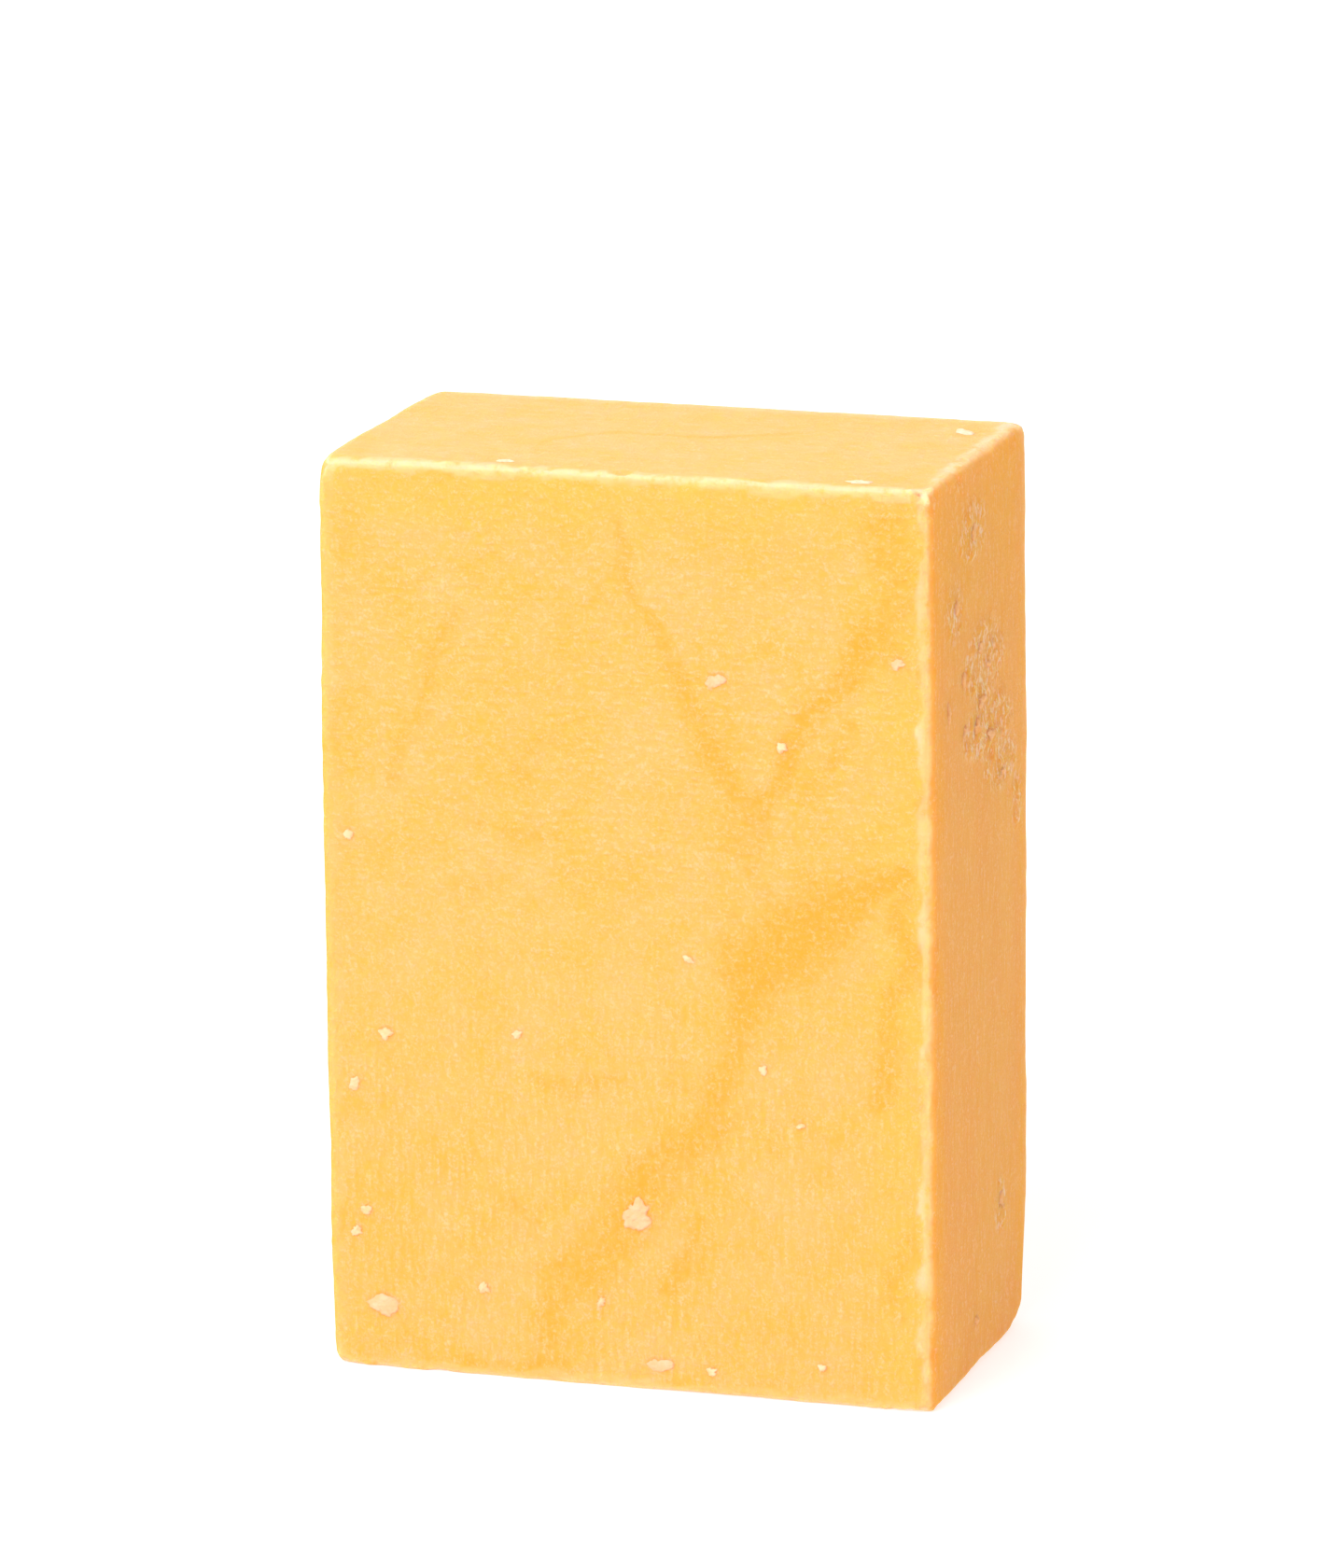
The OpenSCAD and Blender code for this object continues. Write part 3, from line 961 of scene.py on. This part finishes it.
class CLAYBAR_OT_stage(bpy.types.Operator):
    """Add the pale floor, the soft light and the camera"""
    bl_idname = "claybar.stage"
    bl_label = "Stage"

    def execute(self, context):
        settings = context.scene.claybar_stage
        reach = 0.5 * settings.floor_size / MM
        corners = np.array([[-reach, -reach, 0.0], [reach, -reach, 0.0],
                            [reach, reach, 0.0], [-reach, reach, 0.0]])
        floor = mesh_object("floor", corners, [np.array([[0, 1, 2, 3]])], {},
                            studio_floor(settings.floor_glow))

        world = context.scene.world or bpy.data.worlds.new("studio")
        context.scene.world = world
        world.use_nodes = True
        sky = world.node_tree.nodes["Background"]
        sky.inputs["Color"].default_value = linear("#FFFFFF")
        sky.inputs["Strength"].default_value = settings.sky

        middle = np.array([0.0, 0.0, 0.5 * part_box(CLAY_NODE)[1][2]])
        add_light("key", middle, KEY_LIGHT, settings.key_power)
        add_light("back", middle, BACK_LIGHT, settings.back_power)
        add_camera(context.scene, settings, middle)
        context.scene.view_settings.view_transform = "Standard"
        return {"FINISHED"}


OPERATORS = (CLAYBAR_OT_block, CLAYBAR_OT_flakes, CLAYBAR_OT_crumbs, CLAYBAR_OT_stage)


class CLAYBAR_PT_panel(bpy.types.Panel):
    """Lists the pieces of the clay bar in the sidebar"""
    bl_label = "Clay Bar"
    bl_idname = "CLAYBAR_PT_panel"
    bl_space_type = "VIEW_3D"
    bl_region_type = "UI"
    bl_category = "Clay Bar"

    def draw(self, context):
        for operator in OPERATORS:
            self.layout.operator(operator.bl_idname)


GROUPS = {"claybar_block": BlockSettings, "claybar_chips": ChipSettings,
          "claybar_colours": ColourSettings, "claybar_stage": StageSettings}


def register():
    """Registers the settings, the operators and the panel, and puts the settings on the scene."""
    for group in GROUPS.values():
        bpy.utils.register_class(group)
    for name, group in GROUPS.items():
        setattr(bpy.types.Scene, name, PointerProperty(type=group))
    for kind in OPERATORS + (CLAYBAR_PT_panel,):
        bpy.utils.register_class(kind)


def unregister():
    """Takes away what register added."""
    for kind in reversed(OPERATORS + (CLAYBAR_PT_panel,)):
        bpy.utils.unregister_class(kind)
    for name, group in GROUPS.items():
        delattr(bpy.types.Scene, name)
        bpy.utils.unregister_class(group)


def main():
    """Makes every piece and the stage."""
    register()
    bpy.ops.claybar.block()
    bpy.ops.claybar.flakes()
    bpy.ops.claybar.crumbs()
    bpy.ops.claybar.stage()


if __name__ == "__main__":
    main()
